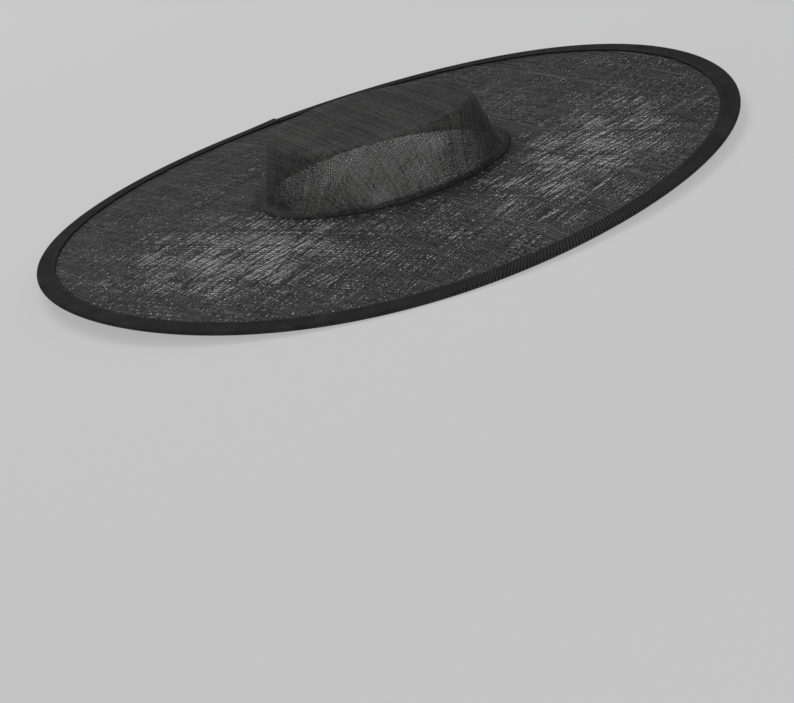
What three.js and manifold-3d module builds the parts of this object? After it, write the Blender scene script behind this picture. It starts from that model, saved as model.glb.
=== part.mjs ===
// A wide-brimmed fascinator hat of stiffened open-weave straw cloth.
// Millimetres. +Z is up, +X is the front end of the oval crown, and the hat rests on its edge.

import * as THREE from 'three';
import Module from 'manifold-3d';

// Cloth and seams
const CLOTH = 1.0;                  // two stiffened layers of the open weave
const SEAM_GAP = 0.3;               // clearance between pieces that are sewn together

// Brim
const BRIM_DIAMETER = 500;          // over the bound edge
const BRIM_DISH = 6.1;              // how far the middle stands above the mean edge
const DISH_CURVE = 1.3;             // 1 is a straight cone, more keeps the middle flatter
const EDGE_WAVE = 4.5;              // height of the edge's main wave, from its mean
const WAVE_CURVE = 1.7;             // how fast the wave dies out towards the crown
const EDGE_WAVES = [
  { waves: 2, share: 1.0, crest: 26 },
  { waves: 3, share: 0.31, crest: 83 },
  { waves: 4, share: 0.14, crest: 47 },
];

// Crown, measured over its outside
const FOOT_LENGTH = 168;
const FOOT_WIDTH = 147;
const TIP_LENGTH = 148;
const TIP_WIDTH = 130;
const CROWN_HEIGHT = 41;            // from the brim's upper side to the edge of the tip
const TIP_RISE = 1.0;               // how far the flat middle stands above that edge
const TIP_SHOULDER = 30;            // from the rounded edge in to the flat middle
const TIP_ROUNDING = 6;
const FOOT_ROUNDING = 3.0;
const FLANGE_WIDTH = 7;             // turned out at the foot and sewn down on the brim

// Binding of the edge
const BINDING_WIDTH = 13.7;
const BINDING_WALL = 1.0;
const BINDING_ROUNDING = 1.5;       // soft outer edge of the fold
const LAP_ANGLE = 116.4;            // where the binding's folded end shows
const LAP_LENGTH = 34;              // along the edge, until the lapped end has sunk away
const LAP_RISE = 1.0;               // the folded end above the binding under it
const LAP_PROUD = 0.8;              // the folded end beyond the binding's outer edge
const LAP_CUT = 0.5;                // along the edge, the depth of the fold's own face

// Comb
const COMB_WIDTH = 62;              // over the spine's ends
const SPINE_HEIGHT = 3.6;
const SPINE_DEPTH = 2.8;
const TOOTH_COUNT = 13;
const TOOTH_LENGTH = 31;
const TOOTH_ROOT = 1.9;
const TOOTH_TIP = 1.0;
const TOOTH_LIFT = 27;              // degrees above level at the root
const TOOTH_CURL = 24;              // degrees that a tooth turns down towards its tip
const TOOTH_SINK = 0.8;             // how deep a root stands in the spine

// Fineness of the solids
const STATIONS = 96;
const BRIM_STEPS = [0, 0.17, 0.34, 0.52, 0.70, 0.86, 1];
const ARC_STEPS = { foot: 3, tip: 5 };
const TOOTH_STEPS = 4;
const LAP_STATIONS = [0, 0.15, 0.4, 0.7, 1];

const BRIM_RADIUS = BRIM_DIAMETER / 2;
const FOOT = { length: FOOT_LENGTH / 2, width: FOOT_WIDTH / 2 };
const TIP = { length: TIP_LENGTH / 2, width: TIP_WIDTH / 2 };

// The head opening is in line with the inside of the crown's wall.
const OPENING = { length: FOOT.length - CLOTH, width: FOOT.width - CLOTH };

const toRadians = THREE.MathUtils.degToRad;
const lerp = THREE.MathUtils.lerp;
const clamp = THREE.MathUtils.clamp;

// Radius of an oval with the given half length and half width, in the direction of an angle.
function ovalRadius(oval, angle) {
  const across = oval.width * Math.cos(angle);
  const along = oval.length * Math.sin(angle);
  return (oval.length * oval.width) / Math.hypot(across, along);
}

function shrink(oval, inset) {
  return { length: oval.length - inset, width: oval.width - inset };
}

// Height of the edge above its own mean.
function edgeWave(angle) {
  const height = (row) => row.share * Math.cos(row.waves * (angle - toRadians(row.crest)));
  return EDGE_WAVE * EDGE_WAVES.reduce((sum, row) => sum + height(row), 0);
}

// Middle surface of the brim: level under the crown's flange, then falling to the waved edge.
function brimHeight(radius, angle) {
  const start = ovalRadius(shrink(FOOT, -FLANGE_WIDTH), angle);
  const share = clamp((radius - start) / (BRIM_RADIUS - start), 0, 1);
  const dish = BRIM_DISH * (1 - share ** DISH_CURVE);
  return dish + edgeWave(angle) * share ** WAVE_CURVE;
}

const evenAngles = Array.from({ length: STATIONS }, (_, i) => (2 * Math.PI * i) / STATIONS);

// A point of a section that stands at an angle round the hat.
function polarPoint(radius, angle, height) {
  return new THREE.Vector3(radius * Math.cos(angle), radius * Math.sin(angle), height);
}

// Closed mesh through a row of equal closed sections. Each section runs clockwise seen from the
// section after it. A ring joins its last section to its first, and any other row is capped.
function skin(sections, isRing) {
  const places = [];
  const numbers = new Map();
  const number = (point) => {
    const key = point.toArray().map((value) => Math.round(value * 1e5)).join(' ');
    if (!numbers.has(key)) {
      numbers.set(key, places.length / 3);
      places.push(point.x, point.y, point.z);
    }
    return numbers.get(key);
  };
  const triangles = [];
  const triangle = (a, b, c) => {
    if (a !== b && b !== c && c !== a) triangles.push(a, b, c);
  };
  const rows = sections.map((section) => section.map(number));
  const size = rows[0].length;
  const last = isRing ? rows.length : rows.length - 1;
  for (let i = 0; i < last; i += 1) {
    const near = rows[i];
    const far = rows[(i + 1) % rows.length];
    for (let j = 0; j < size; j += 1) {
      const k = (j + 1) % size;
      triangle(near[j], far[k], near[k]);
      triangle(near[j], far[j], far[k]);
    }
  }
  if (!isRing) {
    const start = rows[0];
    const end = rows[rows.length - 1];
    for (let j = 1; j < size - 1; j += 1) {
      triangle(start[0], start[j], start[j + 1]);
      triangle(end[0], end[j + 1], end[j]);
    }
  }
  const geometry = new THREE.BufferGeometry();
  geometry.setAttribute('position', new THREE.Float32BufferAttribute(places, 3));
  geometry.setIndex(triangles);
  return geometry;
}

// Path through corners, each with an arc of its own radius and number of steps. Returns points
// with the path's direction at each.
function roundedPath(corners) {
  const path = [];
  corners.forEach((corner, i) => {
    const here = new THREE.Vector2(corner.x, corner.y);
    const before = corners[i - 1] && new THREE.Vector2(corners[i - 1].x, corners[i - 1].y);
    const after = corners[i + 1] && new THREE.Vector2(corners[i + 1].x, corners[i + 1].y);
    const incoming = before && here.clone().sub(before).normalize();
    const outgoing = after && after.clone().sub(here).normalize();
    if (!corner.radius) {
      const along = incoming && outgoing ? incoming.clone().add(outgoing) : incoming || outgoing;
      path.push({ point: here, along: along.clone().normalize() });
      return;
    }
    const turn = Math.atan2(incoming.cross(outgoing), incoming.dot(outgoing));
    const start = here.clone().addScaledVector(incoming, -corner.radius * Math.tan(Math.abs(turn) / 2));
    const side = new THREE.Vector2(-incoming.y, incoming.x).multiplyScalar(Math.sign(turn));
    const centre = start.clone().addScaledVector(side, corner.radius);
    for (let step = 0; step <= corner.steps; step += 1) {
      const angle = (turn * step) / corner.steps;
      const point = start.clone().rotateAround(centre, angle);
      path.push({ point, along: incoming.clone().rotateAround(new THREE.Vector2(), angle) });
    }
  });
  return path;
}

// Crown: a flange, the leaning side and the tip, blocked in one piece and open below.
// The path lies in the middle of the cloth, with its distance in from the foot as x.
function crown() {
  const seat = BRIM_DISH + CLOTH / 2 + SEAM_GAP;
  const half = CLOTH / 2;
  const lean = (FOOT.length - TIP.length + FOOT.width - TIP.width) / 2;
  const edge = BRIM_DISH + CROWN_HEIGHT;
  const top = edge + TIP_RISE;
  const corners = [
    { x: -FLANGE_WIDTH, y: seat + half },
    { x: half, y: seat + half, radius: FOOT_ROUNDING + half, steps: ARC_STEPS.foot },
    { x: lean + half, y: edge, radius: TIP_ROUNDING - half, steps: ARC_STEPS.tip },
    { x: lean + half + TIP_SHOULDER, y: top },
  ];
  // The two halves of the foot and the tip lean in by their own amounts.
  const oval = (inset) => {
    const share = clamp(inset / lean, 0, 1);
    const beyond = inset - clamp(inset, 0, lean);
    return {
      length: lerp(FOOT.length, TIP.length, share) - beyond,
      width: lerp(FOOT.width, TIP.width, share) - beyond,
    };
  };
  const path = roundedPath(corners);
  const wall = (side) => path.map(({ point, along }) => ({
    inset: point.x - side * half * along.y,
    height: point.y + side * half * along.x,
  }));
  const flatten = (points, height) => {
    points[points.length - 1].height = height;
    return points;
  };
  const outside = flatten(wall(1), top + half);
  const inside = flatten(wall(-1), top - half);
  const sections = evenAngles.map((angle) => {
    const place = ({ inset, height }) => polarPoint(ovalRadius(oval(inset), angle), angle, height);
    return [
      new THREE.Vector3(0, 0, top - half),
      ...inside.map(place).reverse(),
      ...outside.map(place),
      new THREE.Vector3(0, 0, top + half),
    ];
  });
  return skin(sections, true);
}

// Brim: a wall of even thickness from the head opening to the fold of the binding.
function brim() {
  const edge = BRIM_RADIUS - BINDING_WALL - SEAM_GAP;
  const sections = evenAngles.map((angle) => {
    const inner = ovalRadius(OPENING, angle);
    const start = ovalRadius(shrink(FOOT, -FLANGE_WIDTH), angle);
    const radii = [inner, ...BRIM_STEPS.map((share) => lerp(start, edge, share))];
    const surface = (side) => radii.map((radius) => {
      const height = brimHeight(radius, angle) + (side * CLOTH) / 2;
      return polarPoint(radius, angle, height);
    });
    return [...surface(-1), ...surface(1).reverse()];
  });
  return skin(sections, true);
}

// Binding: a bias strip folded over the brim's edge, with its last end folded in and lapped.
function edgeBinding() {
  const slot = CLOTH / 2 + SEAM_GAP;
  const lapSweep = LAP_LENGTH / BRIM_RADIUS;
  const cutSweep = LAP_CUT / BRIM_RADIUS;
  const lapStart = toRadians(LAP_ANGLE);
  const lapAngles = LAP_STATIONS.map((share) => lapStart + share * lapSweep);
  const clear = evenAngles.filter((angle) => angle < lapStart - 2 * cutSweep || angle > lapStart + lapSweep);
  const angles = [...clear, lapStart - cutSweep, ...lapAngles].sort((a, b) => a - b);
  const lapShare = (angle) => {
    const share = (angle - lapStart) / lapSweep;
    return share < 0 || share > 1 ? 0 : (1 - share) ** 2;
  };
  const sections = angles.map((angle) => {
    const lap = lapShare(angle);
    const outer = BRIM_RADIUS + lap * LAP_PROUD;
    const inner = BRIM_RADIUS - BINDING_WIDTH;
    const fold = BRIM_RADIUS - BINDING_WALL;
    const half = slot + BINDING_WALL;
    const raised = half + lap * LAP_RISE;
    const corner = BINDING_ROUNDING * (1 - Math.SQRT1_2);
    const outline = [
      [inner, slot],
      [fold, slot],
      [fold, -slot],
      [inner, -slot],
      [inner, -half],
      [outer - BINDING_ROUNDING, -half],
      [outer - corner, -half + corner],
      [outer, -half + BINDING_ROUNDING],
      [outer, raised - BINDING_ROUNDING],
      [outer - corner, raised - corner],
      [outer - BINDING_ROUNDING, raised],
      [inner, raised],
    ];
    return outline.map(([radius, height]) => polarPoint(radius, angle, brimHeight(radius, angle) + height));
  });
  return skin(sections, true);
}

let wasm;

function toManifold(geometry) {
  return new wasm.Manifold(new wasm.Mesh({
    numProp: 3,
    vertProperties: new Float32Array(geometry.getAttribute('position').array),
    triVerts: new Uint32Array(geometry.getIndex().array),
  }));
}

function fromManifold(solid) {
  const mesh = solid.getMesh();
  const geometry = new THREE.BufferGeometry();
  geometry.setAttribute('position', new THREE.Float32BufferAttribute(mesh.vertProperties, 3));
  geometry.setIndex(Array.from(mesh.triVerts));
  return geometry;
}

// Comb: a spine along the front of the head opening, with curved teeth that point back.
function comb() {
  const bottom = BRIM_DISH - CLOTH / 2;
  const lean = (FOOT.length - TIP.length) / CROWN_HEIGHT;
  const backInset = SEAM_GAP + lean * (SPINE_HEIGHT - CLOTH);
  const back = shrink(OPENING, backInset);
  const halfSweep = Math.atan2(COMB_WIDTH / 2, back.length);
  const spineAngle = (share) => lerp(-halfSweep, halfSweep, share);
  const spine = skin(Array.from({ length: TOOTH_COUNT }, (_, i) => {
    const angle = spineAngle(i / (TOOTH_COUNT - 1));
    const outer = ovalRadius(back, angle);
    return [
      polarPoint(outer - SPINE_DEPTH, angle, bottom),
      polarPoint(outer, angle, bottom),
      polarPoint(outer, angle, bottom + SPINE_HEIGHT),
      polarPoint(outer - SPINE_DEPTH, angle, bottom + SPINE_HEIGHT),
    ];
  }), false);

  // A tooth is a square rod that narrows along an arc in an upright plane.
  const tooth = (root) => {
    const sections = [];
    const place = new THREE.Vector2(root.x + TOOTH_SINK, bottom + SPINE_HEIGHT / 2);
    const length = TOOTH_LENGTH + TOOTH_SINK;
    for (let step = 0; step <= TOOTH_STEPS; step += 1) {
      const share = step / TOOTH_STEPS;
      const slope = toRadians(TOOTH_LIFT - TOOTH_CURL * share);
      const half = lerp(TOOTH_ROOT, TOOTH_TIP, share) / 2;
      const up = new THREE.Vector2(Math.sin(slope), Math.cos(slope));
      const at = (side, level) => new THREE.Vector3(
        place.x + level * half * up.x,
        root.y + side * half,
        place.y + level * half * up.y,
      );
      sections.push([at(-1, -1), at(1, -1), at(1, 1), at(-1, 1)]);
      const middle = toRadians(TOOTH_LIFT - TOOTH_CURL * (share + 0.5 / TOOTH_STEPS));
      place.x -= (length / TOOTH_STEPS) * Math.cos(middle);
      place.y += (length / TOOTH_STEPS) * Math.sin(middle);
    }
    return skin(sections, false);
  };
  let solid = toManifold(spine);
  for (let i = 0; i < TOOTH_COUNT; i += 1) {
    const angle = spineAngle((i + 0.5) / TOOTH_COUNT);
    const root = polarPoint(ovalRadius(back, angle) - SPINE_DEPTH, angle, 0);
    solid = solid.add(toManifold(tooth(root)));
  }
  return fromManifold(solid);
}

const straw = { color: 0x2b2b2d, roughness: 0.55, metalness: 0 };
const bias = { color: 0x232326, roughness: 0.8, metalness: 0 };
const plastic = { color: 0xe4e6e8, roughness: 0.2, metalness: 0 };   // clear

function piece(name, geometry, finish) {
  geometry.computeVertexNormals();
  const mesh = new THREE.Mesh(geometry, new THREE.MeshStandardMaterial(finish));
  mesh.name = name;
  return mesh;
}

wasm = await Module();
wasm.setup();

const hat = new THREE.Group();
hat.add(piece('crown', crown(), straw));
hat.add(piece('brim', brim(), straw));
hat.add(piece('edge_binding', edgeBinding(), bias));
hat.add(piece('hair_comb', comb(), plastic));

// The hat stands on the lowest point of its edge.
hat.position.z = -new THREE.Box3().setFromObject(hat).min.z;

export default hat;
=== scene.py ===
"""A wide-brimmed fascinator hat of black open-weave straw cloth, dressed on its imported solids.

Each sub-assembly is a class. Its fields are millimetres and degrees in the hat's own frame, and
its meshes are metres in the row frame. The cloth is made as it is in the real thing: two layers
of separate straw strands that follow the brim and the blocked crown.
"""

import logging
import math
from dataclasses import dataclass
from enum import Enum
from typing import ClassVar

import bpy
import numpy as np
from mathutils import Matrix, Vector


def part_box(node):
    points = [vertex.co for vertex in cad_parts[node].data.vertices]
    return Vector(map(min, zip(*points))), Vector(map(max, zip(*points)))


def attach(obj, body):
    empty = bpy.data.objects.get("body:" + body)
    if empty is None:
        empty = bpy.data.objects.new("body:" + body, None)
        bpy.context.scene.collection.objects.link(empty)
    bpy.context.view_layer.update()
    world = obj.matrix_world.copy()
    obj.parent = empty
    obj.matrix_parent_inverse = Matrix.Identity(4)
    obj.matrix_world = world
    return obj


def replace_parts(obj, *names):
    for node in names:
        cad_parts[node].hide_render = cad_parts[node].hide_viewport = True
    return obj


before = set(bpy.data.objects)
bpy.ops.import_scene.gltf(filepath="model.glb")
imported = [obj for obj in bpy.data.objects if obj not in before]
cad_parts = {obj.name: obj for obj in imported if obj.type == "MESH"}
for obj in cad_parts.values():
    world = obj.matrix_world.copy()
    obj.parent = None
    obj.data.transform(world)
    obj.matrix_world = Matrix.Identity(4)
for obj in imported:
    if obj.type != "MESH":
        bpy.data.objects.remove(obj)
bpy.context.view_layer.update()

MM = 0.001
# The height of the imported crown's top over the plane of the brim's mean edge.
CROWN_TOP = 48.6
# The corners of a square, and a small step along the cloth.
SQUARE = np.array([(-1, -1), (1, -1), (1, 1), (-1, 1)])
STEP = 0.05

Array = np.ndarray
Random = np.random.Generator
Pair = tuple[float, float]
Triple = tuple[float, float, float]
Material = bpy.types.Material
Piece = bpy.types.Object
Socket = bpy.types.NodeSocket

log = logging.getLogger("hat")


class Wall(Enum):
    """The two layers of cloth, by their height over the middle of the wall in millimetres."""

    UPPER = 0.24
    LOWER = -0.24


class Run(Enum):
    """The two sets of strands in a layer, by their turn from the grain in degrees."""

    WARP = 0.0
    WEFT = 90.0


# Geometry


def unit(vectors: Array) -> Array:
    """Returns the vectors at length one."""
    return vectors / np.linalg.norm(vectors, axis=1)[:, None]


def ways(turn: float) -> tuple[Array, Array]:
    """Returns the flat directions along and across lines that are turned by so many radians."""
    return np.array([math.cos(turn), math.sin(turn)]), np.array([-math.sin(turn), math.cos(turn)])


def polar(flat: Array) -> tuple[Array, Array]:
    """Returns each flat point's direction and distance from the hat's axis."""
    return np.arctan2(flat[:, 1], flat[:, 0]), np.hypot(*flat.T)


def round_axis(radius: Array, angle: Array, *height: Array) -> Array:
    """Returns the points at those distances and directions, with their heights if given."""
    flat = radius * np.cos(angle), radius * np.sin(angle)
    return np.stack(np.broadcast_arrays(*flat, *height), -1)


def path_lengths(path: Array) -> Array:
    """Returns the distance along a path at each of its points."""
    return np.concatenate([[0], np.cumsum(np.hypot(*np.diff(path, axis=0).T))])


def numbered(points: Array) -> Array:
    """Returns the points' numbers, in the shape of their grid."""
    return np.arange(points[..., 0].size).reshape(points.shape[:-1])


def tube(near: Array, far: Array) -> Array:
    """Returns the quads between rings of point numbers and the rings that follow them."""
    return np.stack([near, np.roll(near, -1, -1), np.roll(far, -1, -1), far], -1).reshape(-1, 4)


# Forms


@dataclass(frozen=True)
class Oval:
    """An ellipse round the hat's axis: half of its sizes along X and along Y."""

    length: float | Array
    width: float | Array

    def radius(self, angle: Array) -> Array:
        """Returns the distance from the axis to the outline in each direction."""
        across = np.hypot(self.width * np.cos(angle), self.length * np.sin(angle))
        return self.length * self.width / across

    def share(self, points: Array) -> Array:
        """Returns each point's distance from the axis, as a share of the outline's there."""
        return np.hypot(points[:, 0] / self.length, points[:, 1] / self.width)

    def grown(self, by: float) -> "Oval":
        """Returns the oval with both half sizes larger by the same amount."""
        return Oval(self.length + by, self.width + by)

    def crossings(self, across: Array, turn: float) -> tuple[Array, Array]:
        """Finds where parallel lines cross the outline.

        A line's points are across*n + s*e, so the ellipse's equation is a quadratic in s.

        Args:
            across: each line's signed distance from the axis.
            turn: the lines' direction in radians.

        Returns:
            The lower and the higher s of each line, both NaN where it passes outside.
        """
        e, n = (way / (self.length, self.width) for way in ways(turn))
        a, b, c = e @ e, across * (e @ n), across**2 * (n @ n) - 1
        inside = b**2 - a * c
        root = np.sqrt(np.where(inside > 0, inside, np.nan))
        return (-b - root) / a, (-b + root) / a


@dataclass(frozen=True)
class HatForm:
    """The shapes that all the sub-assemblies share."""

    radius: float = 250.0
    dish: float = 6.1
    dish_curve: float = 1.3
    wave: float = 4.5
    wave_curve: float = 1.7
    waves: tuple[tuple[int, float, float], ...] = ((2, 1.0, 26.0), (3, 0.31, 83.0), (4, 0.14, 47.0))
    foot: Oval = Oval(84.0, 73.5)
    tip: Oval = Oval(74.0, 65.0)
    tip_fade: float = 8.0
    crown_height: float = 41.0
    flange: float = 7.0
    seam_middle: float = 0.8
    seam_spread: float = 0.8
    wall: float = 1.0
    lift: float = 6.876

    def edge_wave(self, angle: Array) -> Array:
        """Returns the height of the waved edge over its mean: a sum of cosines round the hat."""
        return self.wave * sum(
            share * np.cos(waves * (angle - math.radians(crest))) for waves, share, crest in self.waves
        )

    def foot_seam(self, points: Array) -> Array:
        """Returns how near each point is to the crown's seam on the brim, from 0 to 1: it gathers the
        strands there and sets the painted shade along the seam.

        It is a bell curve of the distance out from the foot, seen from above, as a share of the
        flange: (length of (x / foot length, y / foot width) - 1) * mean foot size / flange.
        """
        size = (self.foot.length + self.foot.width) / 2
        out = (self.foot.share(points) - 1) * size / self.flange
        return np.exp(-(((out - self.seam_middle) / self.seam_spread) ** 2))

    def long_side(self, points: Array) -> Array:
        """Returns where each point is on the crown's side, which sets its painted light and shade: -1 at
        its ends, 1 on its long sides.

        It is 1 - 2 cos(its direction)^4, and it fades out over the tip's edge.
        """
        out = (self.tip.share(points) - 1) * self.tip.width
        fade = np.clip(out / self.tip_fade + 0.5, 0, 1)
        return (1 - 2 * np.cos(np.arctan2(points[:, 1], points[:, 0])) ** 4) * fade

    def brim_height(self, radius: float | Array, angle: Array) -> Array:
        """Returns the height of the brim's middle surface.

        With s the share of the way from the flange's rim to the edge, it is
        dish * (1 - s^dish_curve) + edge_wave * s^wave_curve.
        """
        start = self.foot.grown(self.flange).radius(angle)
        share = np.clip((radius - start) / (self.radius - start), 0, 1)
        wave = self.edge_wave(angle) * share**self.wave_curve
        return self.dish * (1 - share**self.dish_curve) + wave


@dataclass(frozen=True)
class BrimSurface:
    """The brim's middle surface, over the flat cloth seen from above."""

    form: HatForm
    longest: float = 14.0

    def place(self, flat: Array) -> Array:
        """Returns each point of the cloth at the brim's height."""
        angle, radius = polar(flat)
        return np.column_stack([flat, self.form.brim_height(radius, angle) + self.form.lift])

    def stride(self, flat: Array) -> Array:
        """Returns how far apart sections stand: evenly, because the brim bends slowly."""
        return np.full(len(flat), self.longest)


@dataclass(frozen=True)
class CrownSurface:
    """The crown's middle surface, over flat cloth that is blocked down from the tip.

    A point of the cloth keeps its direction from the axis. Inside the tip's rounded edge it
    keeps its distance too, and past it the rest of its distance runs down along the profile.
    """

    form: HatForm
    gap: float = -0.05
    foot_rounding: float = 3.5
    tip_rounding: float = 5.5
    rise: float = 1.0
    drop: float = 0.28
    shoulder: float = 30.0
    arc_steps: int = 10
    arc_margin: float = 1.0
    strides: Triple = (12.0, 5.0, 2.0)

    @property
    def lean(self) -> float:
        """How far the tip's outline stands in from the foot's."""
        foot, tip = self.form.foot, self.form.tip
        return (foot.length - tip.length + foot.width - tip.width) / 2

    def profile(self) -> Array:
        """Lays the profile from the flat tip out to the flange's rim.

        Returns:
            Rows of (inset from the foot, height), along straight runs and round two arcs.
        """
        form = self.form
        half, lean = form.wall / 2, self.lean
        edge = form.dish + form.crown_height
        seat = form.dish + 2 * half + self.gap
        corners = np.array(
            [
                (lean + half + self.shoulder, edge + self.rise),
                (lean + half, edge),
                (half, seat),
                (-form.flange, seat - self.drop),
            ]
        )
        rows = [corners[:1]]
        for before, here, after, radius in zip(
            corners[:-2], corners[1:-1], corners[2:], (self.tip_rounding, self.foot_rounding)
        ):
            into, out = here - before, after - here
            into, out = into / np.hypot(*into), out / np.hypot(*out)
            turn = math.atan2(into[0] * out[1] - into[1] * out[0], into @ out)
            start = here - into * radius * math.tan(abs(turn) / 2)
            side = np.array([-into[1], into[0]]) * math.copysign(radius, turn)
            swing = np.linspace(0, turn, self.arc_steps + 1)[:, None]
            across = np.array([side[1], -side[0]])
            rows.append(start + side - side * np.cos(swing) + across * np.sin(swing))
        rows.append(corners[-1:])
        return np.vstack(rows)

    def middle(self) -> Oval:
        """Returns the oval at the profile's start, inside which the tip is flat."""
        return self.form.tip.grown(-self.form.wall / 2 - self.shoulder)

    def outline(self) -> Oval:
        """Returns the flat cloth's outline."""
        return self.middle().grown(float(path_lengths(self.profile())[-1]))

    def place(self, flat: Array) -> Array:
        """Blocks the cloth down over the profile."""
        form, path = self.form, self.profile()
        along = path_lengths(path)
        angle, reach = polar(flat)
        run = reach - self.middle().radius(angle)
        inset, height = (np.interp(run, along, column) for column in path.T)
        share = np.clip(inset / self.lean, 0, 1)
        beyond = inset - np.clip(inset, 0, self.lean)
        length = form.foot.length + (form.tip.length - form.foot.length) * share - beyond
        width = form.foot.width + (form.tip.width - form.foot.width) * share - beyond
        radius = np.where(run < 0, reach, Oval(length, width).radius(angle))
        return round_axis(radius, angle, height + form.lift)

    def stride(self, flat: Array) -> Array:
        """Returns the first stride on the flat tip, the last round both arcs, else the second."""
        along = path_lengths(self.profile())
        angle, reach = polar(flat)
        run = reach - self.middle().radius(angle)
        steps, margin = self.arc_steps, self.arc_margin
        tip, foot = (
            (run > along[first] - margin) & (run < along[first + steps] + margin)
            for first in (1, steps + 2)
        )
        flat_stride, side_stride, arc_stride = self.strides
        return np.select([tip | foot, run < along[1]], [arc_stride, flat_stride], side_stride)


Surface = BrimSurface | CrownSurface


# Meshes


def add_object(name: str, data: bpy.types.ID) -> Piece:
    """Puts data into the scene as an object, and returns it."""
    thing = bpy.data.objects.new(name, data)
    bpy.context.scene.collection.objects.link(thing)
    return thing


def make_piece(
    name: str,
    points: Array,
    quads: Array,
    finish: Material,
    tone: Array | None = None,
    uv: Array | None = None,
) -> Piece:
    """Puts a mesh of quads into a piece that rides on the hat.

    Args:
        name: the piece's name.
        points: its points in millimetres in the row frame.
        quads: four point numbers for each face, anticlockwise seen from outside.
        finish: its material.
        tone: a number for each point, kept as the attribute "tone".
        uv: a place on the piece's own map for each corner of each face, in metres.

    Returns:
        The new object, at the origin.
    """
    mesh = bpy.data.meshes.new(name)
    mesh.vertices.add(points.size // 3)
    mesh.vertices.foreach_set("co", (points * MM).astype(np.float32).ravel())
    mesh.loops.add(quads.size)
    mesh.loops.foreach_set("vertex_index", quads.astype(np.int32).ravel())
    mesh.polygons.add(len(quads))
    mesh.polygons.foreach_set("loop_start", np.arange(0, quads.size, 4, dtype=np.int32))
    mesh.polygons.foreach_set("use_smooth", np.ones(len(quads), bool))
    if tone is not None:
        mesh.attributes.new("tone", "FLOAT", "POINT").data.foreach_set("value", tone.astype(np.float32))
    if uv is not None:
        mesh.uv_layers.new(name="Strip").data.foreach_set("uv", uv.astype(np.float32).ravel())
    mesh.update(calc_edges=True)
    mesh.validate()
    mesh.materials.append(finish)
    piece = add_object(name, mesh)
    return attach(piece, "root")


# Cloth


@dataclass(frozen=True)
class Yarn:
    """The straw strands of one run.

    Args:
        pitch, width, thickness: the strands' mean distance, width and thickness.
        crowding: how unevenly strands are spaced, as a share of the pitch.
        wander: how far a strand strays from its line.
        slub: how much the width varies from strand to strand, as a share of it.
        slubby: how much of that it varies along a strand.
        widths, depths: the least and the most of its width and thickness, as shares of the mean.
        roll: how far a strand turns about its own length, in degrees.
        height: the run's height over the middle of its layer.
        tones: how much the tone varies from strand to strand, and along a strand.
        waves: the longest waves along a strand: of its stray, width, roll and tone.
    """

    pitch: float = 1.35
    width: float = 0.89
    thickness: float = 0.11
    crowding: float = 0.46
    wander: float = 0.25
    slub: float = 0.34
    slubby: float = 0.6
    widths: Pair = (0.45, 2.1)
    depths: Pair = (0.7, 1.5)
    roll: float = 14.0
    height: float = -0.05
    tone: float = 0.42
    tones: Pair = (0.17, 0.24)
    waves: tuple[float, float, float, float] = (150.0, 60.0, 110.0, 50.0)

    def spaced(self, reach: float, rng: Random) -> Array:
        """Returns places from -reach to reach: even ones, each with a normal error."""
        even = np.arange(-reach, reach, self.pitch)
        return even + rng.normal(0, self.crowding * self.pitch, len(even))


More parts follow.
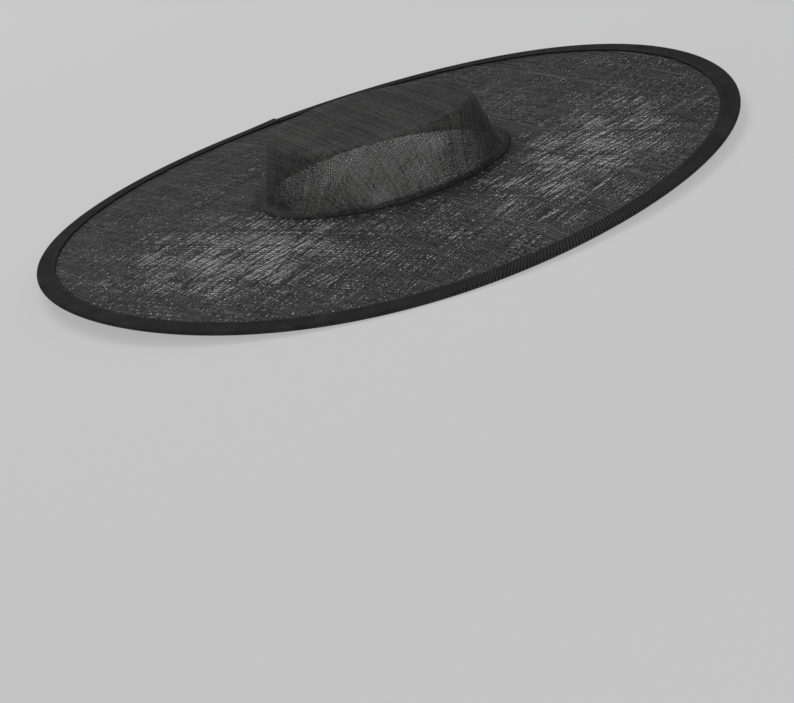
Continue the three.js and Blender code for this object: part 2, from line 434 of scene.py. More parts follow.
@dataclass(frozen=True)
class Cloth:
    """Open straw cloth: wide, unevenly spaced warp strands and thinner, sparser weft strands.

    Args:
        grain: the warp's direction in the upper layer, in degrees.
        skew: how far the lower layer's grain is turned from that.
        openness: how much a strand's width varies from patch to patch, as a share of it.
        patch: the size of such a patch along the grain and across it.
        uneven: how much the pull varies from patch to patch, as a share of it.
        pull: how much blocking draws the strands thinner, as a share of their width.
        pulls: each place where it does so: its direction in degrees, its distance from the axis,
            how far it reaches in and out, and its strength.
        focus: how narrow it is round the hat.
        limits: the least and the most of a strand's width there, as shares of it.
        bunch: how far blocking draws neighbouring warp strands together.
        bunches: the distances between bunches.
        slope: how far a bunch runs on along the strands for each millimetre across them.
        gather: how much wider the strands lie at the crown's seam, as a share of their width.
        painted_seam_shade: how much darker they are painted there, a painted shade along the crown's
            seam.
        painted_side_shading: how much painted light the crown's long sides get in their tone, and how
            much painted shade its ends get.
    """

    warp: Yarn = Yarn()
    weft: Yarn = Yarn(1.05, 0.6, 0.09, crowding=0.38, height=0.06, tone=0.52)
    grain: float = 38.0
    skew: float = 21.0
    openness: float = 0.3
    patch: Pair = (38.0, 12.0)
    uneven: float = 0.6
    pull: float = 0.58
    pulls: tuple[tuple[float, float, float, float], ...] = (
        (-132.0, 142.0, 60.0, 1.3),
        (-15.0, 153.0, 53.0, 1.25),
        (98.0, 150.0, 50.0, 0.45),
    )
    focus: float = 5.0
    limits: Pair = (0.35, 2.0)
    bunch: float = 0.7
    bunches: tuple[float, float, float, float] = (4.1, 5.3, 6.9, 9.7)
    slope: float = 21.0
    gather: float = 0.45
    # Painted shade along the crown's seam, as a drop in the strands' tone.
    painted_seam_shade: float = 0.4
    # Painted light on the crown's long sides and painted shade at its ends, as a tone shift.
    painted_side_shading: float = 0.0

    def yarn(self, run: Run) -> Yarn:
        """Returns the strands of a run."""
        return self.warp if run is Run.WARP else self.weft

    def turn(self, wall: Wall, run: Run) -> float:
        """Returns a run's direction in radians."""
        return math.radians(self.grain + run.value + (self.skew if wall is Wall.LOWER else 0.0))

    def patches(self, flat: Array) -> Array:
        """Returns the cloth's slow unevenness, about -1 to 1.

        It is a quarter of the sum of eight plane sine waves, after the place is turned to the
        grain and divided by the patch's length and width.
        """
        place = flat @ np.column_stack(ways(math.radians(self.grain))) / self.patch
        turns = np.radians([5.0, 31.0, 52.0, 77.0, 98.0, 119.0, 144.0, 171.0])
        lengths = np.array([1.0, 0.62, 1.31, 0.83, 0.55, 1.6, 0.71, 1.13])
        starts = np.array([0.4, 2.1, 3.9, 5.2, 1.3, 4.6, 0.9, 2.8])
        across = place @ (2 * math.pi * np.array([np.cos(turns), np.sin(turns)]) / lengths)
        return np.sin(across + starts).sum(1) / 4

    def pulled(self, flat: Array) -> Array:
        """Returns how hard blocking pulls at each place, from 0 to about 1.6.

        It is the sum of strength * e^(focus * (cos(turn) - 1)) * e^-((distance / reach)^2), with
        both measured from the pull's place, times one less the cloth's unevenness.
        """
        angle, radius = polar(flat)
        hard = 0.0
        for turn, middle, reach, strength in self.pulls:
            beside = self.focus * np.cos(angle - math.radians(turn)) - self.focus
            hard = hard + strength * np.exp(beside - ((radius - middle) / reach) ** 2)
        return hard * (1 - self.uneven * self.patches(flat))

    def widening(self, flat: Array) -> Array:
        """Returns how wide strands are at each place, as a share of their mean."""
        wide = 1 + self.openness * self.patches(flat) - self.pull * self.pulled(flat)
        return np.clip(wide, *self.limits)


def ripple(rng: Random, owner: Array, along: Array, longest: float) -> Array:
    """A slow random wave along each strand.

    It is the mean of the strand's own four sines, with lengths from a quarter of the longest up,
    times the square root of two, so that its spread is near a half.

    Args:
        rng: the seeded source.
        owner: the strand that each point belongs to.
        along: each point's distance along its strand.
        longest: the longest wave.

    Returns:
        The wave's value at each point.
    """
    count = int(owner.max()) + 1
    length = longest * rng.uniform(0.25, 1.0, (count, 4))
    start = rng.uniform(0, 2 * math.pi, (count, 4))
    return np.sin(2 * math.pi * along[:, None] / length[owner] + start[owner]).mean(1) * math.sqrt(2)


def sections(surface: Surface, chords: Array, turn: float) -> tuple[Array, Array, Array]:
    """Spreads sections along straight lines of the flat cloth, closer where the form bends.

    The number of strides from a line's start to a point is the sum of length / stride over the
    line's 128 even parts. The line is cut where that number passes even steps, found by
    interpolating it the other way round, for all lines at once.

    Args:
        surface: the form.
        chords: rows of (distance of the line from the axis, start, end).
        turn: the lines' direction in radians.

    Returns:
        The line that each section belongs to, its place along it, and each line's sections.
    """
    across, start, end = chords.T
    fine = start[:, None] + np.linspace(0, 1, 129) * (end - start)[:, None]
    e, n = ways(turn)
    flat = fine[..., None] * e + across[:, None, None] * n
    density = 1 / surface.stride(flat.reshape(-1, 2)).reshape(fine.shape)
    passed = (density[:, 1:] + density[:, :-1]) / 2 * np.diff(fine, axis=1)
    strides = np.pad(np.cumsum(passed, 1), ((0, 0), (1, 0)))
    count = np.maximum(np.ceil(strides[:, -1]).astype(int), 1) + 1
    owner = np.repeat(np.arange(len(chords)), count)
    first = np.cumsum(count) - count
    share = (np.arange(len(owner)) - first[owner]) / (count[owner] - 1)
    shift = np.arange(len(chords)) * (strides[:, -1].max() + 1)
    wanted = share * strides[owner, -1] + shift[owner]
    return owner, np.interp(wanted, (strides + shift[:, None]).ravel(), fine.ravel()), count


def lay_strands(
    surface: Surface, chords: Array, cloth: Cloth, wall: Wall, run: Run, rng: Random
) -> tuple[Array, Array, Array]:
    """Lays one run of strands on a form.

    A strand follows a line of the flat cloth. At each station its section is a flat four-sided
    tape: centre + b*B + d*N, with N the form's normal, B across the strand, and (b, d) the
    tape's corners turned by the strand's roll. Warp strands are drawn together where blocking
    pulls, by the sum of four sines of (across + along / slope) / each distance between bunches,
    so that gaps open there and run on along the strands.

    Args:
        surface: the form.
        chords: rows of (distance of the line from the axis, start, end).
        cloth, wall, run: the cloth, its layer and its run.
        rng: the seeded source.

    Returns:
        Points, quads and a tone for each point.
    """
    yarn, turn = cloth.yarn(run), cloth.turn(wall, run)
    stray_wave, width_wave, roll_wave, tone_wave = yarn.waves
    owner, along, stations = sections(surface, chords, turn)
    stray = chords[owner, 0] + yarn.wander * ripple(rng, owner, along, stray_wave)
    e, n = ways(turn)
    if run is Run.WARP:
        pulled = cloth.pulled(along[:, None] * e + stray[:, None] * n)
        starts = rng.uniform(0, 2 * math.pi, len(cloth.bunches))
        slant = chords[owner, :1] + along[:, None] / cloth.slope
        stray += cloth.bunch * pulled * np.sin(2 * math.pi * slant / cloth.bunches + starts).sum(1)
    flat = along[:, None] * e + stray[:, None] * n
    centre = surface.place(flat)
    ahead, aside = (
        surface.place(flat + STEP * way) - surface.place(flat - STEP * way) for way in (e, n)
    )
    normal = unit(np.cross(ahead, aside))
    binormal = unit(np.cross(normal, ahead))

    size = np.exp(rng.normal(0, yarn.slub, len(chords)))[owner]
    size *= 1 + yarn.slubby * yarn.slub * ripple(rng, owner, along, width_wave)
    seam = surface.form.foot_seam(centre)
    wide = cloth.widening(flat) * (1 + cloth.gather * seam)
    half_width = 0.5 * yarn.width * np.clip(size, *yarn.widths) * wide
    half_depth = 0.5 * yarn.thickness * np.sqrt(np.clip(size, *yarn.depths) * wide)
    roll = np.radians(yarn.roll) * ripple(rng, owner, along, roll_wave)
    b, d = SQUARE[:, 0] * half_width[:, None], SQUARE[:, 1] * half_depth[:, None]
    cos, sin = np.cos(roll)[:, None], np.sin(roll)[:, None]
    b, d = b * cos - d * sin, b * sin + d * cos + wall.value + yarn.height
    points = centre[:, None] + b[..., None] * binormal[:, None] + d[..., None] * normal[:, None]

    number = numbered(points)
    last = np.cumsum(stations) - 1
    here = np.flatnonzero(owner[:-1] == owner[1:])
    ends = number[last - stations + 1, ::-1], number[last]
    between, within = yarn.tones
    tone = rng.normal(yarn.tone, between, len(chords))[owner]
    tone += within * ripple(rng, owner, along, tone_wave)
    # Painted light on the crown's long sides, and painted shade at its ends and along the crown's seam.
    tone += cloth.painted_side_shading * surface.form.long_side(centre) - cloth.painted_seam_shade * seam
    quads = np.vstack([tube(number[here], number[here + 1]), *ends])
    return points.reshape(-1, 3), quads, np.repeat(tone, len(SQUARE))


# Finishes


class Bench:
    """Lays out the nodes of one material."""

    def __init__(self, name: str) -> None:
        """Starts an empty material of that name."""
        self.material = bpy.data.materials.new(name)
        self.material.use_nodes = True
        self.tree = self.material.node_tree
        self.tree.nodes.clear()

    def node(self, kind: str, sockets: dict | None = None, **settings: object) -> bpy.types.Node:
        """Adds a node.

        Args:
            kind: its type.
            sockets: a value or another node's output for each named or numbered input.
            settings: its properties.

        Returns:
            The node.
        """
        node = self.tree.nodes.new(kind)
        for key, value in settings.items():
            setattr(node, key, value)
        for key, value in (sockets or {}).items():
            if isinstance(value, Socket):
                self.tree.links.new(value, node.inputs[key])
            else:
                node.inputs[key].default_value = value
        return node

    def coordinates(self, kind: str = "Object") -> Socket:
        """Returns the coordinates of that kind."""
        return self.node("ShaderNodeTexCoord").outputs[kind]

    def tone(self) -> Socket:
        """Returns the tone that the points of the mesh hold."""
        return self.node("ShaderNodeAttribute", attribute_name="tone").outputs["Fac"]

    def noise(self, scale: float, detail: float, distortion: float = 0.0) -> Socket:
        """Returns soft noise over the Object coordinates."""
        sockets = {"Scale": scale, "Detail": detail, "Distortion": distortion}
        sockets["Vector"] = self.coordinates()
        return self.node("ShaderNodeTexNoise", sockets).outputs["Fac"]

    def maths(self, operation: str, *values: float | Socket) -> Socket:
        """Returns the result of an operation on the values."""
        return self.node("ShaderNodeMath", dict(enumerate(values)), operation=operation).outputs[0]

    def ramp(self, level: Socket, stops: list[tuple[float, Triple]]) -> Socket:
        """Returns the colour of a ramp through (place, colour) stops."""
        node = self.node("ShaderNodeValToRGB", {"Fac": level})
        elements = node.color_ramp.elements
        while len(elements) < len(stops):
            elements.new(0.5)
        for element, (place, colour) in zip(elements, stops):
            element.position = place
            element.color = (*colour, 1)
        return node.outputs["Color"]

    def close(self, sockets: dict) -> Material:
        """Joins a principled surface with those inputs to the output and returns the material."""
        shader = self.node("ShaderNodeBsdfPrincipled", sockets)
        self.node("ShaderNodeOutputMaterial", {"Surface": shader.outputs[0]})
        return self.material


@dataclass(frozen=True)
class StrawFinish:
    """Dyed straw: near black, each strand with its own tone, with painted glints in its colour where its
    fibre turns.

    Patches and painted glints have the scale of their noise and their weight.
    """

    dark: Triple = (0.017, 0.017, 0.019)
    plain: Triple = (0.050, 0.050, 0.051)
    light: Triple = (0.15, 0.149, 0.141)
    patches: Pair = (22.0, 0.5)
    # Painted glints: fine noise that lightens and darkens the strands' colour.
    painted_glints: Pair = (620.0, 1.1)
    roughness: float = 0.42
    gloss: float = 0.34

    def make(self) -> Material:
        """Returns the material: tone to colour, with slow patches and small painted glints over it."""
        bench = Bench("straw")
        (patch_scale, patchy), (glint_scale, shiny) = self.patches, self.painted_glints
        patch, glint = bench.noise(patch_scale, detail=3.0), bench.noise(glint_scale, detail=1.0)
        level = bench.maths("MULTIPLY_ADD", patch, patchy, bench.tone())
        level = bench.maths("MULTIPLY_ADD", glint, shiny, level)
        level = bench.maths("SUBTRACT", level, (patchy + shiny) / 2)
        colour = bench.ramp(level, [(0.0, self.dark), (0.5, self.plain), (1.0, self.light)])
        surface = {"Base Color": colour, "Roughness": self.roughness, "Specular IOR Level": self.gloss}
        return bench.close(surface)


@dataclass(frozen=True)
class BindingFinish:
    """A folded bias strip: matt black, its two sets of threads crossing the strip aslant.

    The first set stands out where the strip was stretched: its weight rises from the first of
    weights to the second where a place is facing's two shares of the reach out that way.
    """

    dark: Triple = (0.017, 0.017, 0.018)
    plain: Triple = (0.033, 0.033, 0.035)
    light: Triple = (0.060, 0.060, 0.063)
    period: float = 0.0021
    turns: Pair = (-28.0, 62.0)
    second: float = 0.15
    usual: float = 0.6
    stretched: float = -48.0
    facing: Pair = (0.86, 0.96)
    weights: Pair = (0.08, 1.5)
    reach: float = 0.25

    def make(self) -> Material:
        """Returns the material: patches, the second threads faintly, the first by the stretch."""
        bench = Bench("binding")
        threads = []
        scale = math.pi / (10 * self.period)
        waves = {"Scale": scale, "Distortion": 2.6, "Detail": 2.0, "Detail Scale": 1.5}
        for turn in self.turns:
            turned = {"Vector": bench.coordinates("UV"), "Rotation": (0, 0, math.radians(turn))}
            waves["Vector"] = bench.node("ShaderNodeMapping", turned).outputs[0]
            threads.append(bench.node("ShaderNodeTexWave", waves, bands_direction="X").outputs["Fac"])
        turn = math.radians(self.stretched)
        way = (math.cos(turn) / self.reach, math.sin(turn) / self.reach, 0)
        ahead = {0: bench.coordinates(), 1: way}
        facing = bench.node("ShaderNodeVectorMath", ahead, operation="DOT_PRODUCT").outputs["Value"]
        (start, full), (low, high) = self.facing, self.weights
        spread = {"Value": facing, "From Min": start, "From Max": full, "To Min": low, "To Max": high}
        weight = bench.node("ShaderNodeMapRange", spread).outputs[0]
        patch = bench.noise(scale=60.0, detail=4.0)
        level = bench.maths("MULTIPLY_ADD", threads[1], self.second, patch)
        centred = bench.maths("SUBTRACT", threads[0], self.usual)
        level = bench.maths("MULTIPLY_ADD", centred, weight, level)
        stops = [(0.3, self.dark), (0.65, self.plain), (1.0, self.light)]
        bump = {"Height": level, "Strength": 0.5, "Distance": 0.00015}
        surface = {"Base Color": bench.ramp(level, stops), "Roughness": 0.8, "Specular IOR Level": 0.12}
        surface["Normal"] = bench.node("ShaderNodeBump", bump).outputs["Normal"]
        return bench.close(surface)


@dataclass(frozen=True)
class ThreadFinish:
    """Black sewing thread: two twisted plies with a soft gloss."""

    dark: Triple = (0.014, 0.014, 0.015)
    light: Triple = (0.05, 0.05, 0.052)
    plies: float = 700.0
    plied: float = 0.5
    roughness: float = 0.5

    def make(self) -> Material:
        """Returns the material: each stitch's tone under the fine stripes of its plies."""
        bench = Bench("thread")
        waves = {"Vector": bench.coordinates(), "Scale": self.plies, "Distortion": 3.0}
        ply = bench.node("ShaderNodeTexWave", waves, bands_direction="DIAGONAL").outputs["Fac"]
        level = bench.maths("MULTIPLY_ADD", ply, self.plied, bench.tone())
        colour = bench.ramp(level, [(0.3, self.dark), (1.0, self.light)])
        return bench.close({"Base Color": colour, "Roughness": self.roughness})


@dataclass(frozen=True)
class CombFinish:
    """Clear moulded plastic, glossy, with the faint flow marks of its mould."""

    tint: Triple = (0.90, 0.92, 0.93)
    index: float = 1.49
    clear: float = 0.92
    roughness: Pair = (0.05, 0.22)

    def make(self) -> Material:
        """Returns the material: flow marks turn to roughness and to a slight unevenness."""
        bench = Bench("comb_plastic")
        flow = bench.noise(scale=260.0, detail=3.0, distortion=1.2)
        low, high = self.roughness
        rough = bench.node("ShaderNodeMapRange", {"Value": flow, "To Min": low, "To Max": high})
        bump = bench.node("ShaderNodeBump", {"Height": flow, "Strength": 0.25, "Distance": 0.0002})
        surface = {"Base Color": (*self.tint, 1), "IOR": self.index, "Transmission Weight": self.clear}
        return bench.close(surface | {"Roughness": rough.outputs[0], "Normal": bump.outputs["Normal"]})


# Sub-assemblies


def stitch_tone(seed: int, number: Array) -> Array:
    """Returns each stitch's own tone, at all of its numbered points."""
    return np.random.default_rng(seed).normal(0.5, 0.1, len(number)).repeat(number[0].size)


@dataclass
class Layered:
    """A part of two layers of open cloth over its shape.

    Each part's own chords cuts the lines of a run to it, as rows of (distance from the axis,
    start, end). The seeds are those of the strands' spacing and of their shapes.
    """

    name: ClassVar[str]
    shape: ClassVar[type]
    seeds: ClassVar[tuple[int, int]]
    form: HatForm
    cloth: Cloth = Cloth()

    def build(self, finish: Material) -> list[Piece]:
        """Weaves and dresses both layers.

        Args:
            finish: the straw.

        Returns:
            The pieces.
        """
        cloth, surface, made = self.cloth, self.shape(self.form), []
        for number, wall in enumerate(Wall):
            spacing, shapes = (np.random.default_rng(seed + number) for seed in self.seeds)
            chords = [self.chords(cloth.yarn(run), cloth.turn(wall, run), spacing) for run in Run]
            points, quads, tones = zip(
                *(lay_strands(surface, rows, cloth, wall, run, shapes) for run, rows in zip(Run, chords))
            )
            shift = np.cumsum([0] + [len(run) for run in points[:-1]])
            faces = np.vstack([run + by for run, by in zip(quads, shift)])
            layer = f"{self.name}_{wall.name.lower()}_cloth"
            piece = make_piece(layer, np.vstack(points), faces, finish, np.concatenate(tones))
            made.append(self.dress(piece))
        return made


@dataclass
class Brim(Layered):
    """Two layers of open cloth from the head opening to the fold of the binding."""

    name = "brim"
    shape = BrimSurface
    seeds = (100, 200)
    edge: float = 248.0
    shortest: float = 1.0

    def chords(self, yarn: Yarn, turn: float, rng: Random) -> Array:
        """Cuts lines between the outer edge and the head opening, on both sides of it."""
        across = yarn.spaced(self.edge, rng)
        low, high = Oval(self.edge, self.edge).crossings(across, turn)
        inner_low, inner_high = self.form.foot.grown(-self.form.wall).crossings(across, turn)
        split = np.isfinite(inner_low)
        whole = np.column_stack([across, low, high])[~split]
        before = np.column_stack([across, low, inner_low])[split]
        after = np.column_stack([across, inner_high, high])[split]
        rows = np.vstack([whole, before, after])
        return rows[(rows[:, 2] - rows[:, 1]) > self.shortest]

    def dress(self, piece: Piece) -> Piece:
        """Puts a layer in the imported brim's place."""
        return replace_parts(piece, "brim")


@dataclass
class Crown(Layered):
    """Two layers of open cloth blocked over the tip, the side and the flange, with frayed ends."""

    name = "crown"
    shape = CrownSurface
    seeds = (300, 400)
    cloth: Cloth = Cloth(
        warp=Yarn(1.0, 0.40, crowding=0.13, wander=0.12, slub=0.12, tone=0.56),
        weft=Yarn(1.05, 0.37, 0.1, crowding=0.13, wander=0.12, slub=0.12, height=0.06, tone=0.70),
        grain=31.0,
        skew=27.0,
        openness=0.15,
        patch=(50.0, 22.0),
        pull=0.0,
        bunch=0.0,
        # Painted light on the crown's long sides and painted shade at its ends.
        painted_side_shading=0.2,
    )
    fray: float = 0.45
    shortest: float = 4.0

    def chords(self, yarn: Yarn, turn: float, rng: Random) -> Array:
        """Cuts lines to the flat cloth's outline, each end short of it by a random bit."""
        outline = CrownSurface(self.form).outline()
        across = yarn.spaced(outline.length, rng)
        low, high = outline.crossings(across, turn)
        short = np.abs(rng.normal(0, self.fray, (2, len(across))))
        rows = np.column_stack([across, low + short[0], high - short[1]])
        return rows[high - low > self.shortest]

    def dress(self, piece: Piece) -> Piece:
        """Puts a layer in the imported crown's place."""
        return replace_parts(piece, "crown")


@dataclass
class EdgeBinding:
    """A bias strip folded over the brim's edge, with its last end folded in and lapped."""

    form: HatForm
    width: float = 13.7
    half: float = 1.45
    slot: float = 0.75
    fold: float = 1.0
    rounding: float = 1.3
    stations: int = 1440
    side_steps: int = 9
    arc_steps: int = 5
    lap_angle: float = 116.4
    lap_length: float = 34.0
    lap_rise: float = 1.0
    lap_proud: float = 0.8

    def lap(self, angle: Array) -> Array:
        """Returns how far the lapped end stands out: (1 - its share of the lap)^2."""
        turn = np.mod(angle - math.radians(self.lap_angle), 2 * math.pi)
        return np.clip(1 - turn * self.form.radius / self.lap_length, 0, 1) ** 2

    def face(self, inset: float, angle: Array, upper: bool) -> Array:
        """Finds places on the strip's upper or lower side.

        Args:
            inset: the distance in from the edge.
            angle: the directions.
            upper: whether they are on the upper side.

        Returns:
            The places in the row frame, in millimetres.
        """
        radius = self.form.radius - inset
        rise = self.half + self.lap_rise * self.lap(angle) if upper else -self.half
        return round_axis(radius, angle, self.form.brim_height(radius, angle) + rise + self.form.lift)

    def section(self) -> tuple[Array, Array]:
        """Draws the folded strip's section, clockwise from the inner edge of its upper side.

        Returns:
            Rows of (distance in from the edge, height over the brim): the outer skin, and then
            back round the cloth that it holds.
        """
        lip = (self.half - self.slot) / 2
        side = np.linspace(self.width - lip, self.rounding, self.side_steps)[:-1]
        swing = np.linspace(0, math.pi / 2, self.arc_steps + 1)
        arc = self.rounding * (1 - np.column_stack([np.sin(swing), np.cos(swing)]))
        upper = np.vstack([np.column_stack([side, 0 * side]), arc]) * (1, -1) + (0, self.half)
        inner = np.array(
            [(self.width, lip - self.half), (self.width - lip, -self.slot), (self.fold, -self.slot)]
        )
        return tuple(np.vstack([half, (half * (1, -1))[::-1]]) for half in (upper, inner))

    def build(self, finish: Material) -> Piece:
        """Carries the section round the waved edge and dresses it.

        A point's radius is the hat's less its inset, and its height is the brim's at that
        radius plus its own. Over the lap both the outer edge and the upper side stand out by
        (1 - share of the lap)^2. The strip's map runs round the hat and round the section.

        Args:
            finish: the binding's material.

        Returns:
            The piece.
        """
        form = self.form
        outer, inner = self.section()
        section = np.vstack([outer, inner])
        angle = np.linspace(0, 2 * math.pi, self.stations, endpoint=False)[:, None]
        inset, rise = section.T[:, None]
        lap = self.lap(angle) * (np.arange(len(section)) < len(outer))
        radius = form.radius - inset + lap * self.lap_proud * np.clip(1 - inset / self.width, 0, 1)
        height = form.brim_height(form.radius - inset, angle) + rise + lap * self.lap_rise * (rise > 0)
        points = round_axis(radius, angle, height + form.lift)

        number = numbered(points)
        count, size = number.shape
        round_hat = np.arange(count + 1) * 2 * math.pi * form.radius / count
        round_section = path_lengths(np.vstack([section, section[:1]]))
        uv = np.empty((count, size, 4, 2))
        uv[..., 0] = round_hat[np.arange(count)[:, None] + (0, 0, 1, 1)][:, None]
        uv[..., 1] = round_section[np.arange(size)[:, None] + (0, 1, 1, 0)]
        quads = tube(number, np.roll(number, -1, 0))
        piece = make_piece("bias_binding", points, quads, finish, uv=uv * MM)
        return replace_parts(piece, "edge_binding")


@dataclass
class Stitches:
    """Lines of sewing thread: the binding's seam on both sides and the flange's on the crown.

    Args:
        seam: the binding's: its distance from the edge, a stitch's length and the next's start.
        tacks: the flange's, in the same way, and a stitch's turn from the seam in degrees.
        blocked: the flange's length round the hat, as a share of the flat cloth's.
        proud: how far the flange's top stands over its upper layer's middle.
        bend: how high a stitch's middle lies and how deep its ends go, in thread thicknesses.
        probe: the turn in radians and the step inwards that show a seam's directions.
    """

    binding: EdgeBinding
    crown: CrownSurface
    thread: float = 0.34
    steps: int = 6
    seam: Triple = (11.9, 2.5, 3.1)
    tacks: tuple[float, float, float, float] = (2.4, 2.2, 5.2, 28.0)
    blocked: float = 0.72
    proud: float = 0.12
    bend: Pair = (0.3, 0.9)
    probe: Pair = (0.002, 0.5)

    def on_flange(self, rim: Oval, angle: Array) -> Array:
        """Returns the places over the flat cloth's oval, on top of the crown's upper layer."""
        place = self.crown.place(round_axis(rim.radius(angle), angle))
        return place + (0, 0, Wall.UPPER.value + self.proud)

    def sew(self, spots: list[Array], length: float, slant: float, upper: bool) -> Array:
        """Bends a bar of thread over each place, with its ends sunk in the cloth.

        With t from -1 to 1 along a stitch, its middle stands at place + t * length / 2 * ahead
        + thread * (high - deep * t^4) * normal, and its section is a square.

        Args:
            spots: the stitches' middles, and places a little ahead and a little farther in.
            length: a stitch's length.
            slant: its turn from the seam, in degrees.
            upper: whether the stitches are on the upper side.

        Returns:
            The points, as stitches by sections by corners.
        """
        place, further, inner = spots
        ahead = unit(further - place)
        normal = unit(np.cross(ahead, inner - place)) * (1 if upper else -1)
        turn = math.radians(slant)
        ahead = ahead * math.cos(turn) + np.cross(normal, ahead) * math.sin(turn)
        t = np.linspace(-1, 1, self.steps)[:, None]
        high, deep = self.bend
        rise = normal[:, None] * self.thread * (high - deep * t**4)
        middle = place[:, None] + ahead[:, None] * t * length / 2 + rise
        corners = 0.5 * self.thread * SQUARE
        shape = corners[:, :1] * np.cross(normal, ahead)[:, None] + corners[:, 1:] * normal[:, None]
        return middle[:, :, None] + shape[:, None]

    def build(self, finish: Material) -> Piece:
        """Sews all the seams as one piece.

        Args:
            finish: the thread.

        Returns:
            The piece.
        """
        turn, step = self.probe
        near = ((0, 0), (0, turn), (step, 0))
        inset, length, pitch = self.seam
        angle = np.arange(0, 2 * math.pi, pitch / (self.binding.form.radius - inset))
        sewn = []
        for upper in (True, False):
            spots = [self.binding.face(inset + inward, angle + onward, upper) for inward, onward in near]
            sewn.append(self.sew(spots, length, 0.0, upper))
        inset, length, pitch, slant = self.tacks
        rim = self.crown.outline().grown(-inset)
        count = round(math.pi * (rim.length + rim.width) * self.blocked / pitch)
        angle = np.linspace(0, 2 * math.pi, count, endpoint=False)
        spots = [self.on_flange(rim.grown(-inward), angle + onward) for inward, onward in near]
        sewn.append(self.sew(spots, length, slant, True))
        points = np.concatenate(sewn)
        number = numbered(points)
        quads = np.vstack([tube(number[:, :-1], number[:, 1:]), number[:, 0, ::-1], number[:, -1]])
        piece = make_piece("seam_stitches", points, quads, finish, stitch_tone(500, number))
        return piece


@dataclass
class HairComb:
    """The comb inside the front of the head opening, as packed, and the thread that holds it.

    Args:
        spine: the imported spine's depth and height.
        seam: the gap between the spine and the cloth.
        bite: how far the thread reaches into the cloth behind the spine.
    """

    form: HatForm
    node: str = "hair_comb"
    spine: Pair = (2.8, 3.6)
    seam: float = 0.3
    width: float = 62.0
    teeth: int = 13
    thread: float = 0.34
    steps: int = 16
    bite: float = 0.8

    def sew(self, finish: Material) -> Piece:
        """Winds a loop of thread round the spine and the cloth's edge, between every two teeth.

        A loop stands in an upright plane through the hat's axis. With t from 0 to 2 pi, it is at
        half its size times sign(cos t) * |cos t|^0.5 outwards, and the same of sin t upwards.

        Args:
            finish: the thread.

        Returns:
            The loops.
        """
        form = self.form
        depth, height = self.spine
        lean = (form.foot.length - form.tip.length) / form.crown_height
        back = form.foot.grown(-form.wall - self.seam - lean * (height - form.wall))
        sweep = math.atan2(self.width / 2, back.length)
        angle = np.linspace(-sweep, sweep, 2 * self.teeth + 1)[2:-1:2, None, None]
        t = np.linspace(0, 2 * math.pi, self.steps, endpoint=False)[:, None]
        square = 0.5 * self.thread * SQUARE
        out, up = (
            np.sign(wave) * np.sqrt(np.abs(wave)) * ((size + self.thread) / 2 + square[:, 0])
            for wave, size in ((np.cos(t), depth + self.bite), (np.sin(t), height))
        )
        rise = form.lift + form.dish + (height - form.wall) / 2 + up
        points = round_axis(back.radius(angle) + (self.bite - depth) / 2 + out, angle, rise)
        points[..., :2] += round_axis(square[:, 1], angle + math.pi / 2)
        number = numbered(points)
        quads = tube(number, np.roll(number, -1, 1))
        piece = make_piece("comb_stitches", points, quads, finish, stitch_tone(501, number))
        return piece

    def dress(self, finish: Material) -> Piece:
        """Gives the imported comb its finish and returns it."""
        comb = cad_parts[self.node]
        comb.data.materials.clear()
        comb.data.materials.append(finish)
        return comb


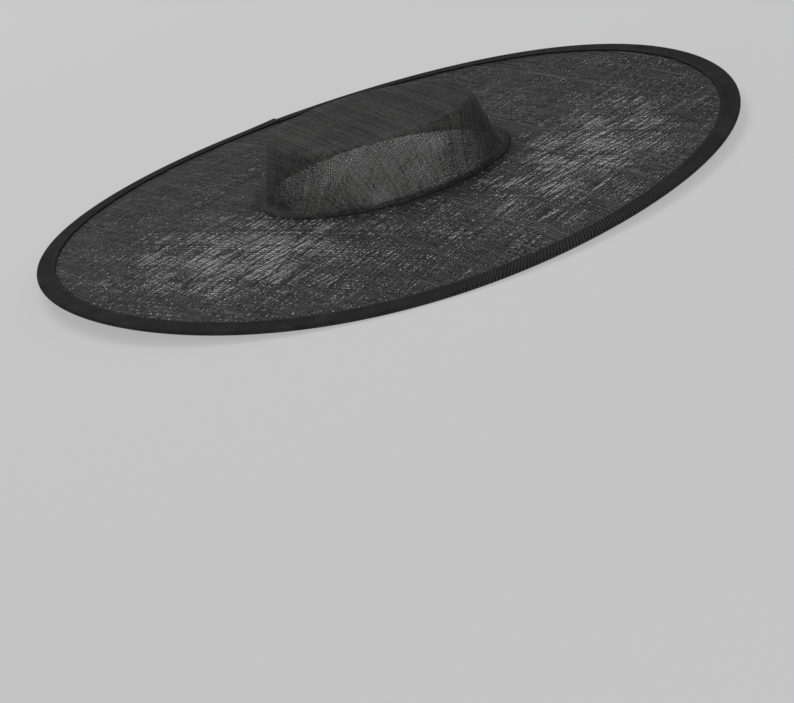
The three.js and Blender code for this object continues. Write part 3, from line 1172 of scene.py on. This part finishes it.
@dataclass
class Studio:
    """A plain pale floor, soft lamps, and the camera at the photograph's angle, in metres.

    The floor glows a little, which shows through the open weave.
    """

    place: Triple = (0.31465, -1.79108, 0.57022)
    azimuth: float = -10.753
    elevation: float = 20.739
    roll: float = -15.769
    lens: float = 124.19
    floor: Triple = (0.34, 0.34, 0.342)
    reach: float = 7.0
    glow: float = 0.39
    surround: float = 0.24
    # Each lamp's name, place, size and power.
    lamps: tuple[tuple[str, Triple, float, float], ...] = (
        ("key", (-0.8, 1.3, 2.3), 1.6, 20.0),
        ("fill", (1.0, -2.6, 1.3), 1.4, 15.0),
    )
    aim: Triple = (0.0, 0.0, 0.03)

    def set_camera(self) -> None:
        """Sets up the camera: it looks down by its elevation, turned about its view by its roll."""
        azimuth, elevation, roll = map(math.radians, (self.azimuth, self.elevation, self.roll))
        out = math.cos(elevation)
        ahead = Vector((math.sin(azimuth) * out, math.cos(azimuth) * out, -math.sin(elevation)))
        level = ahead.cross(Vector((0, 0, 1))).normalized()
        upright = level.cross(ahead)
        right = level * math.cos(roll) + upright * math.sin(roll)
        up = upright * math.cos(roll) - level * math.sin(roll)
        data = bpy.data.cameras.new("camera")
        data.lens, data.sensor_width = self.lens, 36.0
        data.clip_start, data.clip_end = 0.05, 60.0
        camera = add_object("camera", data)
        axes = Matrix((right, up, -ahead)).transposed()
        camera.matrix_world = Matrix.Translation(self.place) @ axes.to_4x4()
        bpy.context.scene.camera = camera

    def build(self) -> None:
        """Lays the floor and sets the lights, the surrounding light and the camera."""
        mesh = bpy.data.meshes.new("floor")
        mesh.from_pydata([(x * self.reach, y * self.reach, 0.0) for x, y in SQUARE], [], [(0, 1, 2, 3)])
        add_object("floor", mesh)
        surface = {"Base Color": (*self.floor, 1), "Roughness": 0.9, "Specular IOR Level": 0.1}
        glow = {"Emission Color": (1, 1, 1, 1), "Emission Strength": self.glow}
        mesh.materials.append(Bench("floor").close(surface | glow))
        world = bpy.data.worlds.new("surround")
        world.use_nodes = True
        background = world.node_tree.nodes["Background"].inputs
        background["Color"].default_value = (1, 1, 1, 1)
        background["Strength"].default_value = self.surround
        bpy.context.scene.world = world
        bpy.context.scene.view_settings.view_transform = "Standard"
        for name, place, size, power in self.lamps:
            data = bpy.data.lights.new(name, "AREA")
            data.size, data.energy = size, power
            lamp = add_object(name, data)
            lamp.location = place
            lamp.rotation_euler = (Vector(self.aim) - Vector(place)).to_track_quat("-Z", "Y").to_euler()
        self.set_camera()


def main() -> None:
    """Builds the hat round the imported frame, then the studio."""
    logging.basicConfig(level=logging.INFO, format="%(message)s")
    form = HatForm(lift=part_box("crown")[1].z / MM - CROWN_TOP)
    straw = StrawFinish().make()
    binding = EdgeBinding(form)
    comb = HairComb(form)
    thread = ThreadFinish().make()
    made = [
        *Brim(form).build(straw),
        *Crown(form).build(straw),
        binding.build(BindingFinish().make()),
        Stitches(binding, CrownSurface(form)).build(thread),
        comb.dress(CombFinish().make()),
        comb.sew(thread),
    ]
    for piece in made:
        piece.data.calc_loop_triangles()
        log.info("%s: %d triangles", piece.name, len(piece.data.loop_triangles))
    Studio().build()


if __name__ == "__main__":
    main()
